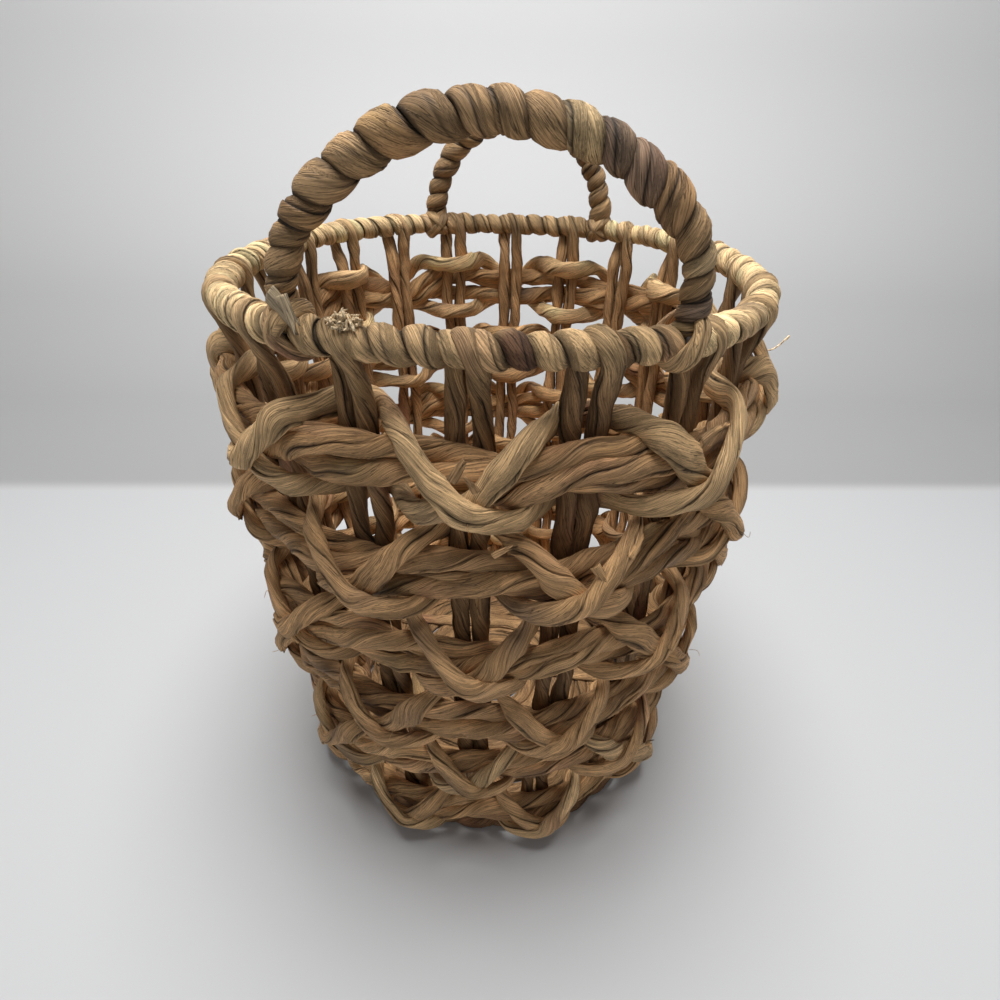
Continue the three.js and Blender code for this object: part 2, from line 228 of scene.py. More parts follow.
def columns(rng, folds, flatness, fill):
    """Angles of the rows of points round a strand, with what each does to the surface there."""
    starts = np.arange(folds) + rng.uniform(-FOLD_SCATTER, FOLD_SCATTER, folds)
    starts = starts * TAU / folds + rng.uniform(0, TAU)
    angle, depth, shade, owner, flat = [], [], [], [], []
    for k, start in enumerate(starts):
        after = starts[k + 1] if k + 1 < folds else starts[0] + TAU
        first, last = start + FOLD_OFFSETS[-1], after + FOLD_OFFSETS[0]
        places = [start + offset for offset in FOLD_OFFSETS]
        places += [first + (last - first) * j / (fill + 1) for j in range(1, fill + 1)]
        angle += places
        depth += list(FOLD_DEPTHS) + [PANEL_DEPTH * (1 - j / fill) for j in range(fill)]
        shade += list(PAINTED_FOLD_SHADES) + [0.0] * fill
        owner += [k] * len(places)
        half = min((after - start) / 2, PANEL_HALF_TURN)
        for place in places:
            off_middle = np.clip(place - (start + after) / 2, -half, half)
            flat.append(1 - flatness * (1 - math.cos(half) / math.cos(off_middle)))
    return tuple(np.array(values) for values in (angle, depth, shade, owner, flat))


# Colours of dried leaf
STRAW = np.array([0.60, 0.42, 0.22])
TAN = np.array([0.43, 0.255, 0.118])
KHAKI = np.array([0.33, 0.19, 0.085])
BROWN = np.array([0.20, 0.105, 0.046])
PINK = np.array([0.34, 0.15, 0.085])
MAUVE = np.array([0.185, 0.122, 0.08])
OLIVE = np.array([0.31, 0.22, 0.10])
DARK_LOBE = np.array([0.115, 0.056, 0.028])
PITH = np.array([0.74, 0.57, 0.36])

# How a strand's colour changes: its paler and browner stretches, and stains with their chances
TONE_WAVE, SIDE_WAVE = 110 * MM, 70 * MM
TONE_REACH = 0.35
PALE_GAIN, PALE_LIFT, PALEST = 1.5, 0.03, 0.9
BROWN_GAIN = 0.6
STAIN_WAVE = 160 * MM
STAINS = ((PINK, 0.26), (MAUVE, 0.24), (OLIVE, 0.16))


def tones(rng, along, angle, owner, base, spread):
    """Colour of every point: a base that wanders between paler and browner stretches."""
    base = np.broadcast_to(base, (len(along), 3))[:, None, :]
    wave = drift(rng, along, TONE_WAVE)[:, None] * 0.5
    wave = wave + rng.uniform(-TONE_REACH, TONE_REACH, owner.max() + 1)[owner]
    phase = angle[None, :] + rng.uniform(0, 6)
    wave = wave + TONE_REACH * np.sin(phase + drift(rng, along, SIDE_WAVE)[:, None] * 2)
    pale = np.clip(wave, 0, 1)[..., None] * spread
    dark = np.clip(-wave, 0, 1)[..., None] * spread
    paler = np.minimum(base * PALE_GAIN + PALE_LIFT, PALEST)
    colour = base * (1 - pale - dark) + paler * pale + base * BROWN_GAIN * dark
    for stain, chance in STAINS:
        patch = np.clip(drift(rng, along, STAIN_WAVE) - rng.uniform(0.45, 1.15) + chance, 0, 1)
        side = 0.5 + 0.5 * np.sin(angle + rng.uniform(0, 6))
        amount = (patch[:, None] * side[None, :])[..., None]
        colour = colour * (1 - amount) + stain * amount
    return colour


# How a strand's folds wander: the length of the waves, and how far they reach
TURN_WAVE, TURN_REACH = 90 * MM, 0.6
STRENGTH_WAVE, STRENGTH_REACH = 70 * MM, 0.55
LONG_SWELL, SHORT_SWELL = 50 * MM, 17 * MM
LEAN_WAVE, LEAN_REACH = 40 * MM, 0.04
STRENGTH_MIDDLE = 0.8
STRENGTH_LIMITS = (0.3, 1.3)
FLANK_START = 0.72

# Millimetres by which the grain is shifted from panel to panel and from strand to strand
PANEL_SHIFT = 900
STRAND_SHIFT = 4000


def strand(name, spine, outward, width, depth, rng, base, twist=0.045, slant=0.055, folds=3,
           fold_depth=0.24, flatness=0.42, step=2.15 * MM, spread=0.5, rough=0.07, taper=(1.0, 1.0),
           side_shade=0.0, fill=FILL_COLUMNS, floor=None):
    """A closed tube of folded ribbon along a spine. Width and depth are half sizes and base is a
    colour. These and outward are one value, or one a point. The folds turn round the tube by twist
    radians a millimetre, and the fibres by slant more. Side_shade darkens its flanks, where the
    next turn lies."""
    size = np.stack([np.broadcast_to(value, len(spine)) for value in (width, depth)], axis=1)
    outward, base = (np.broadcast_to(value, (len(spine), 3)) for value in (outward, base))
    along, (spine, outward, size, base) = resample(spine, step, outward, size, base)
    side, outward = frame_along(spine, outward)

    angle, fold, shade, owner, flat = columns(rng, folds, flatness, fill)
    turn = -twist / MM * along + TURN_REACH * drift(rng, along, TURN_WAVE) + rng.uniform(0, TAU)
    strength = [STRENGTH_MIDDLE + STRENGTH_REACH * drift(rng, along, STRENGTH_WAVE) for _ in range(folds)]
    strength = np.clip(np.stack(strength, axis=1), *STRENGTH_LIMITS)
    fat = 1 + rough * drift(rng, along, LONG_SWELL) + 0.5 * rough * drift(rng, along, SHORT_SWELL)
    lean = np.stack([drift(rng, along, LEAN_WAVE) for _ in range(folds)], axis=1)

    reach = flat[None, :] + fold_depth * strength[:, owner] * fold[None, :] + LEAN_REACH * lean[:, owner]
    reach = reach * fat[:, None] * end_profile(along, size[:, 0].mean(), taper)[:, None]
    facing = angle[None, :] + turn[:, None]
    across = (np.cos(facing) * size[:, :1] * reach)[..., None]
    through = (np.sin(facing) * size[:, 1:] * reach)[..., None]
    points = spine[:, None, :] + side[:, None, :] * across + outward[:, None, :] * through
    if floor is not None:
        points[..., 2] = np.maximum(points[..., 2], floor)

    radius = size.mean() / MM
    panel = rng.uniform(-1, 1, (folds, 2))
    run = angle + slant / MM * along[:, None] * (1 + 0.3 * panel[owner, 0])
    length = along[:, None] / MM + PANEL_SHIFT * panel[owner, 1] + rng.uniform(0, STRAND_SHIFT)
    fibre = np.stack([np.cos(run) * radius, np.sin(run) * radius, length], axis=-1)
    # Painted shade: darker in the folds' grooves and, by side_shade, on the flanks where the next turn lies
    painted_shade = shade[None, :] * strength[:, owner]
    flank = np.clip((np.abs(np.cos(facing)) - FLANK_START) / (1 - FLANK_START), 0, 1)
    painted_shade = np.clip(painted_shade + side_shade * flank, 0, 1)
    colour = tones(rng, along, angle, owner, base, spread)
    return tube_object(name, points, fibre, painted_shade, colour)


# Share of full size that is left at a strand's very end
LEAST_END = 0.02


def end_profile(along, radius, taper):
    """Share of full size along a strand, rounded off over its ends."""
    profile = np.ones_like(along)
    for distance, length in ((along, radius * taper[0]), (along[-1] - along, radius * taper[1])):
        share = np.clip(distance / length, 0, 1)
        profile = np.minimum(profile, np.sqrt(np.clip(1 - (1 - share) ** 2, LEAST_END ** 2, 1)))
    return profile


def add_to_scene(piece):
    bpy.context.scene.collection.objects.link(piece)
    return piece


def tube_object(name, points, fibre, painted_shade, colour):
    """A closed tube through rows of points, with what its material reads at each of them."""
    rows, sides = points.shape[:2]
    row, col = np.meshgrid(np.arange(rows - 1), np.arange(sides), indexing="ij")
    following = (col + 1) % sides
    quads = np.stack([
        row * sides + col, row * sides + following,
        (row + 1) * sides + following, (row + 1) * sides + col,
    ], axis=-1).reshape(-1, 4)
    mesh = bpy.data.meshes.new(name)
    caps = [list(range(sides))[::-1], [(rows - 1) * sides + k for k in range(sides)]]
    mesh.from_pydata(points.reshape(-1, 3).tolist(), [], quads.tolist() + caps)
    mesh.polygons.foreach_set("use_smooth", [True] * (len(quads) + 2))
    paint(mesh, fibre.reshape(-1, 3), painted_shade.reshape(-1), colour.reshape(-1, 3))
    face_out(mesh)
    return add_to_scene(bpy.data.objects.new(name, mesh))


def face_out(mesh):
    """Turns a mesh's faces outward by the sign of the volume that they hold."""
    mesh.calc_loop_triangles()
    points = np.empty(len(mesh.vertices) * 3)
    mesh.vertices.foreach_get("co", points)
    points = points.reshape(-1, 3)
    triangles = np.empty(len(mesh.loop_triangles) * 3, dtype=int)
    mesh.loop_triangles.foreach_get("vertices", triangles)
    a, b, c = (points[triangles.reshape(-1, 3)[:, k]] for k in range(3))
    if np.einsum("ij,ij->", a, np.cross(b, c)) < 0:
        mesh.flip_normals()


def set_attribute(mesh, name, kind, field, values):
    store = mesh.attributes.new(name, kind, "POINT")
    store.data.foreach_set(field, values.astype(np.float32).ravel())


def paint(mesh, fibre, painted_shade, colour):
    """Keeps what the material reads: place along the fibres, painted shade of the folds, and colour."""
    set_attribute(mesh, "fibre", "FLOAT_VECTOR", "vector", fibre)
    set_attribute(mesh, "painted_shade", "FLOAT", "value", painted_shade)
    rgba = np.concatenate([colour, np.ones((len(colour), 1))], axis=1)
    set_attribute(mesh, "tone", "FLOAT_COLOR", "color", rgba)


# Materials
def set_inputs(tree, node, inputs):
    """Links each input of a node to the socket given for it, or writes the value given."""
    for name, value in inputs.items():
        if isinstance(value, bpy.types.NodeSocket):
            tree.links.new(value, node.inputs[name])
        else:
            node.inputs[name].default_value = value


def add_node(tree, kind, inputs, **settings):
    node = tree.nodes.new(kind)
    for name, value in settings.items():
        setattr(node, name, value)
    set_inputs(tree, node, inputs)
    return node


def new_material(name):
    material = bpy.data.materials.new(name)
    material.use_nodes = True
    tree = material.node_tree
    return material, tree, tree.nodes["Principled BSDF"]


LEAF_ROUGHNESS = (0.64, 0.86)
LEAF_SPECULAR = 0.32
BUMP_STRENGTH = 0.8
BUMP_HEIGHT = 0.7 * MM


def fibre_material():
    """Dried leaf: fine grain, hairlines and cracks along the fibres, over the strand's own colour, with
    painted shade in its folds.
    """
    material, tree, shader = new_material("fibre_finish")
    fibre, painted_shade, tone = (add_node(tree, "ShaderNodeAttribute", {}, attribute_name=name).outputs
                           for name in ("fibre", "painted_shade", "tone"))

    def noise(scale, detail, rough=0.55):
        place = add_node(tree, "ShaderNodeVectorMath", {0: fibre["Vector"], 1: scale}, operation="MULTIPLY")
        inputs = {"Vector": place.outputs[0], "Scale": 1.0, "Detail": detail, "Roughness": rough}
        return add_node(tree, "ShaderNodeTexNoise", inputs).outputs["Fac"]

    def ramp(source, low, high, start, end):
        inputs = {"Value": source, "From Min": low, "From Max": high, "To Min": start, "To Max": end}
        return add_node(tree, "ShaderNodeMapRange", inputs).outputs["Result"]

    def calc(operation, a, b):
        return add_node(tree, "ShaderNodeMath", {0: a, 1: b}, operation=operation).outputs[0]

    # Waves a millimetre across the strand, through it and along it, then detail and roughness
    grain = noise((1.5, 1.5, 0.018), 3.0, 0.6)
    hairline = noise((3.1, 3.1, 0.022), 1.0)
    streak = noise((0.5, 0.5, 0.02), 2.0)
    patch = noise((0.10, 0.10, 0.04), 2.0)
    mottle = noise((2.5, 2.5, 1.2), 2.0)
    gate = noise((0.30, 0.30, 0.10), 1.0)
    wander = noise((0.60, 0.60, 0.045), 2.0)
    hair = noise((1.1, 1.1, 0.06), 1.0)

    def cracks(source, reach):
        distance = calc("ABSOLUTE", calc("SUBTRACT", source, 0.5), 0.0)
        return ramp(distance, 0.0, reach, 1.0, 0.0)

    crack = calc("MULTIPLY", cracks(wander, 0.022), ramp(gate, 0.44, 0.54, 0.0, 1.0))
    fine_crack = calc("MULTIPLY", cracks(hair, 0.045), ramp(gate, 0.60, 0.46, 0.25, 1.0))
    thin_line = ramp(hairline, 0.36, 0.46, 1.0, 0.0)

    # Each layer's range, and the light that it leaves at either end of it
    light = ramp(grain, 0.3, 0.7, 0.72, 1.26)
    for layer, low, high, start, end in (
        (thin_line, 0.0, 1.0, 1.05, 0.58),
        (streak, 0.3, 0.7, 0.82, 1.18),
        (patch, 0.3, 0.7, 0.82, 1.18),
        (mottle, 0.3, 0.7, 0.92, 1.08),
        (crack, 0.0, 1.0, 1.0, 0.32),
        (fine_crack, 0.0, 1.0, 1.0, 0.55),
        # Painted shade of the folds and flanks
        (painted_shade["Fac"], 0.0, 1.0, 1.25, 0.08),
    ):
        light = calc("MULTIPLY", light, ramp(layer, low, high, start, end))
    colour = add_node(tree, "ShaderNodeVectorMath", {0: tone["Color"], "Scale": light}, operation="SCALE")

    height = calc("ADD", calc("MULTIPLY", grain, 0.7), calc("MULTIPLY", streak, 0.8))
    for layer, depth in ((thin_line, 0.2), (crack, 0.6), (fine_crack, 0.3)):
        height = calc("SUBTRACT", height, calc("MULTIPLY", layer, depth))
    bump = add_node(tree, "ShaderNodeBump",
                    {"Height": height, "Strength": BUMP_STRENGTH, "Distance": BUMP_HEIGHT})
    set_inputs(tree, shader, {
        "Base Color": colour.outputs[0],
        "Roughness": ramp(streak, 0.3, 0.7, *LEAF_ROUGHNESS),
        "Specular IOR Level": LEAF_SPECULAR,
        "Normal": bump.outputs["Normal"],
    })
    return material


FIBRE = fibre_material()

# Iron wire: rust and bare metal, each as its place in the noise, colour and roughness
RUST = (0.35, (0.10, 0.065, 0.045, 1), 0.75)
BARE_METAL = (0.62, (0.34, 0.32, 0.30, 1), 0.4)
RUST_SCALE = 240


def wire_material():
    material, tree, shader = new_material("wire_finish")
    place = add_node(tree, "ShaderNodeTexCoord", {}).outputs["Object"]
    noise = add_node(tree, "ShaderNodeTexNoise", {"Vector": place, "Scale": RUST_SCALE}).outputs["Fac"]
    colour = add_node(tree, "ShaderNodeValToRGB", {"Fac": noise})
    for element, (position, shade, _) in zip(colour.color_ramp.elements, (RUST, BARE_METAL)):
        element.position = position
        element.color = shade
    rough = add_node(tree, "ShaderNodeMapRange",
                     {"Value": noise, "To Min": RUST[2], "To Max": BARE_METAL[2]})
    set_inputs(tree, shader, {"Metallic": 1.0, "Base Color": colour.outputs["Color"],
                              "Roughness": rough.outputs["Result"]})
    return material


# How far in front of the middle the wall's painted light starts, as a share of its half depth
INSIDE_LIGHT_START = 0.3


def painted_inside_light(base, points, gain):
    """A base colour with painted light: paler towards the back, whose inner side faces the camera."""
    back = np.clip(points[:, 1] / RIM_HALF_DEPTH + INSIDE_LIGHT_START, 0, 1)[:, None]
    return base * (1 + gain * back)


def settle(piece, slot, *nodes, finish=FIBRE):
    """Gives a piece its material and its body, and hides the frame's nodes that it stands for. Slot is not
    used.
    """
    piece.data.materials.append(finish)
    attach(piece, "root")
    if nodes:
        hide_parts(*nodes)


# Step of length of a stake's or wrapper's route before its corners are rounded
ROUTE_STEP = 1.5 * MM

# Stakes: the right leg rises in front of the rim and the fold leans left over it. The fold turns
# from below the rim outside to below it inside, in degrees upward from straight out.
LEG_POINTS = 60
LEG_GAP = 0.2 * MM
LEG_SINK = 2 * MM
LEG_BULGE = 0.9 * MM
LEG_SWAY = 1.2 * MM
FOLD_POINTS = 24
FOLD_ARC = (-48, 205)
FOLD_RADIUS = 5.8 * MM
FOLD_DEPTH = 0.8
STAKE_SMOOTHING = 8
THINNING_SMOOTHING = 12


def stake_route(index, rng):
    u = index / STAKE_PAIRS
    beside = STAKE[0] + LEG_GAP / 2
    heights = np.linspace(BASE_TOP - LEG_SINK, SHOULDER, LEG_POINTS)
    legs = []
    for side in (1, -1):
        seat = LEG_BULGE * drift(rng, heights, 120 * MM)
        sway = side * beside + LEG_SWAY * drift(rng, heights, 150 * MM)
        point, out = around(u, stake_half_width(heights), heights, seat)
        point = point + np.cross(UP, out) * sway[:, None]
        legs.append((point, out * side))
    centre, out = around(u, RIM_HALF_WIDTH, RIM_HEIGHT)
    angles = np.radians(np.linspace(*FOLD_ARC, FOLD_POINTS))
    away = np.cos(angles)[:, None] * out + np.sin(angles)[:, None] * UP
    shift = beside * np.linspace(1, -1, FOLD_POINTS)
    fold = centre + away * FOLD_RADIUS + shift[:, None] * np.cross(UP, out)
    points = np.concatenate([legs[0][0], fold, legs[1][0][::-1]])
    facing = np.concatenate([legs[0][1], away, legs[1][1][::-1]])
    thin = np.repeat([1.0, FOLD_DEPTH, 1.0], [LEG_POINTS, FOLD_POINTS, LEG_POINTS])
    return points, facing, thin[:, None]


def make_stakes():
    for index in range(STAKE_PAIRS):
        rng = dice("stake", index)
        points, facing, thin = stake_route(index, rng)
        _, (points, facing, thin) = resample(points, ROUTE_STEP, facing, thin)
        points, facing = smooth(points, STAKE_SMOOTHING), smooth(facing, STAKE_SMOOTHING)
        thin = smooth(thin, THINNING_SMOOTHING)[:, 0]
        mix = rng.uniform(0, 1)
        base = KHAKI * (1 - mix) + (BROWN * 0.6 + TAN * 0.4) * mix
        # Painted light, paler towards the back
        base = painted_inside_light(base, points, 0.7)
        near_rim = np.clip((points[:, 2] - SHOULDER) / (RIM_HEIGHT - SHOULDER), 0, 1)[:, None] ** 2
        base = base * (1 - near_rim) + (TAN * 0.5 + STRAW * 0.5) * near_rim
        piece = strand(f"stake_strand_{index + 1:02d}", points, facing, STAKE[0] * (1.1 - 0.1 * thin),
                       STAKE[1] * thin, rng, base, twist=rng.uniform(0.035, 0.06), slant=0.03,
                       side_shade=0.35)
        settle(piece, "stake", f"stake_pair_{index + 1:02d}")


# Fillers: three strands that turn round each other on their way round each band. Their seat is how
# far out of the stakes they lie. They swing down where the wrappers cross.
FILLERS = 3
FILLER_POINTS = 700
FILLER_LAP = 0.02
FILLER_TURNS = 4
FILLER_SEAT = 9.7 * MM
FILLER_LIFT = 7.8 * MM
FILLER_DEPTH = 2.8 * MM
FILLER_SWAG = 3.6 * MM
SWAG_MIDDLE = 0.35
FILLER_NODES = {0: "upper", 2: "lower"}


def make_fillers():
    bases = (TAN * 1.4, KHAKI * 1.5, TAN * 0.9 + BROWN * 0.5)
    for band, middle in enumerate(BAND_HEIGHTS, start=1):
        for k in range(FILLERS):
            rng = dice("filler", band, k)
            start = rng.uniform(0, 1)
            u = np.linspace(start, start + 1 + FILLER_LAP, FILLER_POINTS)
            along = u * RIM_LENGTH
            phase = TAU * (k / FILLERS + u * FILLER_TURNS) + 0.9 * drift(rng, along, 300 * MM)
            crossing = 0.5 + 0.5 * np.cos(math.pi * (u * STAKE_PAIRS - (band + 1) % 2))
            lift = FILLER_LIFT * np.sin(phase) - FILLER_SWAG * (crossing - SWAG_MIDDLE)
            lift = lift + 1.0 * MM * drift(rng, along, 100 * MM)
            seat = FILLER_SEAT + FILLER_DEPTH * np.cos(phase) + 0.8 * MM * drift(rng, along, 80 * MM)
            stray_up, stray_out = band_sway(band, u)
            z = middle + lift + stray_up
            point, out = around(u, stake_half_width(z), z, seat + stray_out)
            # Painted light, paler towards the back
            base = painted_inside_light(bases[rng.integers(0, len(bases))], point, 0.3)
            width = FILLER[0] * (1 + 0.1 * drift(rng, along, 120 * MM))
            piece = strand(f"filler_strand_{band}_{k + 1}", point, out, width, FILLER[1], rng, base,
                           twist=rng.uniform(0.05, 0.075), slant=rng.uniform(0.01, 0.03))
            nodes = [f"band_{band}_filler_{FILLER_NODES[k]}"] if k in FILLER_NODES else []
            settle(piece, "filler", *nodes)


# Wrappers: two strands a band that pass inside every other stake pair, high and low by turns, and
# cross over the fillers in front of the pairs between. The over one lies on the under one.
WRAPPER_REACH = 18.0 * MM
CROSSING_DROP = 9.0 * MM
OUTER_SEAT = 19.2 * MM
OVER_RISE = 5.6 * MM
INNER_SEAT = -7.8 * MM
WRAPPER_POINTS = 2400
WRAPPER_SMOOTHING = 16
LAP_STATIONS = 2
CROSSING_SLIP = 0.035
CROSSING_BULGE = 0.7 * MM
CROSSING_SAG = 2.2 * MM


def wrapper_stations(starts_high, over):
    """Places, seats and heights of a wrapper from one inside pass to the next."""
    start = WRAPPER_REACH if starts_high else -WRAPPER_REACH
    crossing = OUTER_SEAT + (OVER_RISE if over else 0.0)
    beside = OUTER_SEAT + (0.25 * OVER_RISE if over else 0.0)
    return [
        (0.00, INNER_SEAT, start),
        (0.10, INNER_SEAT + 0.8 * MM, start),
        (0.19, 4.5 * MM, start),
        (0.27, OUTER_SEAT - 4.0 * MM, start * 0.92),
        (0.37, beside, start * 0.52 - CROSSING_DROP * 0.4),
        (0.50, crossing, -CROSSING_DROP),
        (0.63, beside, -start * 0.52 - CROSSING_DROP * 0.4),
        (0.73, OUTER_SEAT - 4.0 * MM, -start * 0.92),
        (0.81, 4.5 * MM, -start),
        (0.90, INNER_SEAT + 0.8 * MM, -start),
    ]


def wrapper_route(band, over, rng):
    """Places round the oval, seats and heights of a wrapper, each crossing a little off its own way."""
    passes = STAKE_PAIRS // 2
    rows = []
    for i in range(passes + 1):
        slip, bulge, sag = rng.uniform(-1, 1, 3)
        for share, seat, lift in wrapper_stations((i % 2 == 0) != over, over):
            near = 1 - abs(share - 0.5) * 2
            place = band % 2 + 2 * (i + share + CROSSING_SLIP * slip * near)
            rows.append((place / STAKE_PAIRS, seat + CROSSING_BULGE * bulge * near,
                         lift + CROSSING_SAG * sag * near))
    stations = len(rows) // (passes + 1)
    return np.array(rows[:passes * stations + LAP_STATIONS]).T


def make_wrappers():
    """Lays the wrappers and returns each one's route, outward and colour."""
    bases = (TAN * 1.3, KHAKI * 0.7 + TAN * 0.7, STRAW * 0.5 + TAN * 0.7)
    routes = []
    for band, middle in enumerate(BAND_HEIGHTS, start=1):
        for over, kind in enumerate(("under", "over")):
            rng = dice("wrapper", band, over)
            places, seats, lifts = wrapper_route(band, bool(over), rng)
            fine = np.linspace(places[0], places[-1], WRAPPER_POINTS)
            stray_up, stray_out = band_sway(band, fine)
            seat = np.interp(fine, places, seats) + stray_out
            z = middle + np.interp(fine, places, lifts) + stray_up
            point, out = around(fine, stake_half_width(z), z, seat)
            _, (point, out) = resample(point, ROUTE_STEP, out)
            point, out = smooth(point, WRAPPER_SMOOTHING), smooth(out, WRAPPER_SMOOTHING)
            # Painted light, paler towards the back
            base = painted_inside_light(bases[rng.integers(0, len(bases))], point, 0.3)
            width = WRAPPER[0] * (1 + 0.16 * drift(rng, path_length(point), 100 * MM))
            piece = strand(f"wrapper_strand_{band}_{kind}", point, out, width, WRAPPER[1], rng, base,
                           twist=rng.uniform(0.04, 0.06), slant=rng.uniform(0.015, 0.03))
            settle(piece, "wrapper", f"band_{band}_wrapper_{kind}")
            routes.append((point, out, base))
    return routes


# Windings: one fat strand wound round a wire, each turn a lobe of its own width. Radius and half
# depth come in pairs, and an overlap is a lobe's width as a share of its spacing.
LOBE_UNEVENNESS = 0.3
LOBE_POINTS = 60
LOBE_SMOOTHING = 300
LUMP_REACH, LUMP_TURNS = 0.08, 2.4
SWELL_POWER = 0.3
MARK_EDGE = 3.2
WINDING_STEP = 1.2 * MM
WINDING_REACH = 6.9 * MM
RIM_WINDING = (3.7 * MM, 3.6 * MM)
RIM_LOBE_OVERLAP = 1.12
HANDLE_WINDING = {"front": (3.6 * MM, 3.4 * MM), "back": (4.1 * MM, 3.9 * MM)}
HANDLE_LOBE_OVERLAP = 1.15
HANDLE_TURNS = {"front": 22, "back": 18}
LEG_THINNING = {"front": 0.2, "back": 0.0}
LEG_START, LEG_FADE = 0.35, 0.5

# Lobes with a colour of their own: the middle of the turn, and the colour
RIM_MARKS = [(8.0, DARK_LOBE), (11.0, TAN * 0.7)]
HANDLE_MARKS = [(5.15, TAN * 0.75), (8.15, KHAKI * 1.3), (13.15, STRAW * 0.9), (14.15, MAUVE * 1.5),
                (15.15, MAUVE * 1.6), (16.15, KHAKI), (18.15, STRAW * 0.85), (20.15, MAUVE * 1.4)]


def leg_thickness(share, thinning):
    """Full thickness over the arch of a handle, less down its legs."""
    near_foot = np.clip((np.abs(2 * share - 1) - LEG_START) / LEG_FADE, 0, 1)
    return 1 - thinning * near_foot ** 2 * (3 - 2 * near_foot)


def make_winding(name, node, core, length, turns, winding, overlap, rng, base, thinning=0.0, marks=()):
    """Winds a strand on a core, which gives points, outward and across at shares of its length."""
    radius, depth = winding
    widths = 1 + LOBE_UNEVENNESS * rng.uniform(-1, 1, turns)
    widths *= leg_thickness((np.arange(turns) + 0.5) / turns, thinning) ** 2
    starts = np.concatenate([[0], np.cumsum(widths)]) / widths.sum()
    turn = np.linspace(0, turns, turns * LOBE_POINTS + 1)
    share = np.interp(turn, np.arange(turns + 1), starts)
    share = smooth(share, LOBE_SMOOTHING)
    spacing = np.gradient(share, turn) * length
    thickness = leg_thickness(share, thinning)
    swell = (spacing * turns / length / thickness ** 2) ** SWELL_POWER * thickness
    point, out, across = core(share)
    angle = TAU * turn
    away = out * np.cos(angle)[:, None] - across * np.sin(angle)[:, None]
    lump = 1 + LUMP_REACH * drift(rng, turn, LUMP_TURNS)
    spine = point + away * (radius * swell * lump)[:, None]
    half_width = spacing / 2 * np.sin(np.arctan2(TAU * radius, spacing)) * overlap
    colour = np.broadcast_to(base, (len(share), 3))
    for marked_turn, mark in marks:
        amount = np.clip(MARK_EDGE * (0.5 - np.abs(turn - marked_turn)), 0, 1)[:, None]
        colour = colour * (1 - amount) + mark * amount
    piece = strand(name, spine, away, half_width, depth * swell, rng, colour,
                   twist=rng.uniform(0.03, 0.05), slant=rng.uniform(0.09, 0.12), fold_depth=0.15,
                   flatness=0.1, step=WINDING_STEP, spread=0.6, rough=0.06, side_shade=0.75, fill=3)
    settle(piece, "winding", node)


# Handle feet and the side joints of the rim's winding, as places along the oval
def handle_span(place):
    """Middle and half width of a handle's centreline, from its winding's box."""
    low, high = box_of(f"handle_wrap_{place}")
    return (low[0] + high[0]) / 2, (high[0] - low[0]) / 2 - WINDING_REACH


def front_place(x):
    """Place along the rim, near its front, at which it reaches x."""
    quarter = OVAL_SAMPLES // 4
    along = np.interp(abs(x) / RIM_HALF_WIDTH, OVAL_POINTS[:quarter, 0], OVAL_ALONG[:quarter])
    return math.copysign(along / OVAL_LENGTH, x)


def handle_feet(place):
    middle, half_span = handle_span(place)
    left, right = front_place(middle - half_span), front_place(middle + half_span)
    return (left, right) if place == "front" else (0.5 - left, 0.5 - right)


FEET = {place: handle_feet(place) for place in ("front", "back")}
JOINT = 0.25 + 0.5 / STAKE_PAIRS
JOINT_OVERLAP = 3.5 * MM


def make_rim():
    front_left, front_right = FEET["front"]
    back_left, back_right = FEET["back"]
    stretches = [
        ("front", front_left, front_right, 14),
        ("right_front", front_right, JOINT, 16),
        ("right_back", JOINT, back_right, 14),
        ("back", back_right, back_left, 12),
        ("left_back", back_left, 0.5 + JOINT, 16),
        ("left_front", 0.5 + JOINT, 1 + front_left, 16),
    ]
    for k, (place, start, end, turns) in enumerate(stretches):
        rng = dice("rim", k)
        start -= JOINT_OVERLAP / RIM_LENGTH
        end += JOINT_OVERLAP / RIM_LENGTH

        def core(share, start=start, end=end):
            point, out = around(start + (end - start) * share, RIM_HALF_WIDTH, RIM_HEIGHT)
            return point, out, UP

        # Painted light: the side stretches are painted paler than the front and back stretches
        base = TAN * 0.55 + STRAW * 0.6 if place in ("front", "back") else STRAW * 1.4
        make_winding(f"rim_winding_{place}", f"rim_wrap_{place}", core, (end - start) * RIM_LENGTH, turns,
                     RIM_WINDING, RIM_LOBE_OVERLAP, rng, base, marks=RIM_MARKS if place == "front" else ())


# Handles: the roundness of their left and right halves, and how far these bow to the right half
# way up. The front handle has a slack left shoulder, and both its legs bow outward.
HANDLE_ROUNDNESS = {"front": (1.88, 2.12), "back": (2.2, 2.2)}
HANDLE_BOW = {"front": (-4.8 * MM, 6.6 * MM), "back": (0.0, 0.0)}
LINE_START = 1.0 * MM
LINE_POINTS = 400
BACKWARD = np.array([0.0, 1.0, 0.0])

# Handle wires: each end hooks under the rim's hoop, turning by degrees from straight out, and the
# arch starts at a height over the hoop
HOOK_RADIUS = 4.3 * MM
HOOK_TURN = 200
ARCH_START = 11 * MM
WIRE_SIDES = 12
WIRE_STEP = 1.0 * MM
WIRE_SMOOTHING = 6


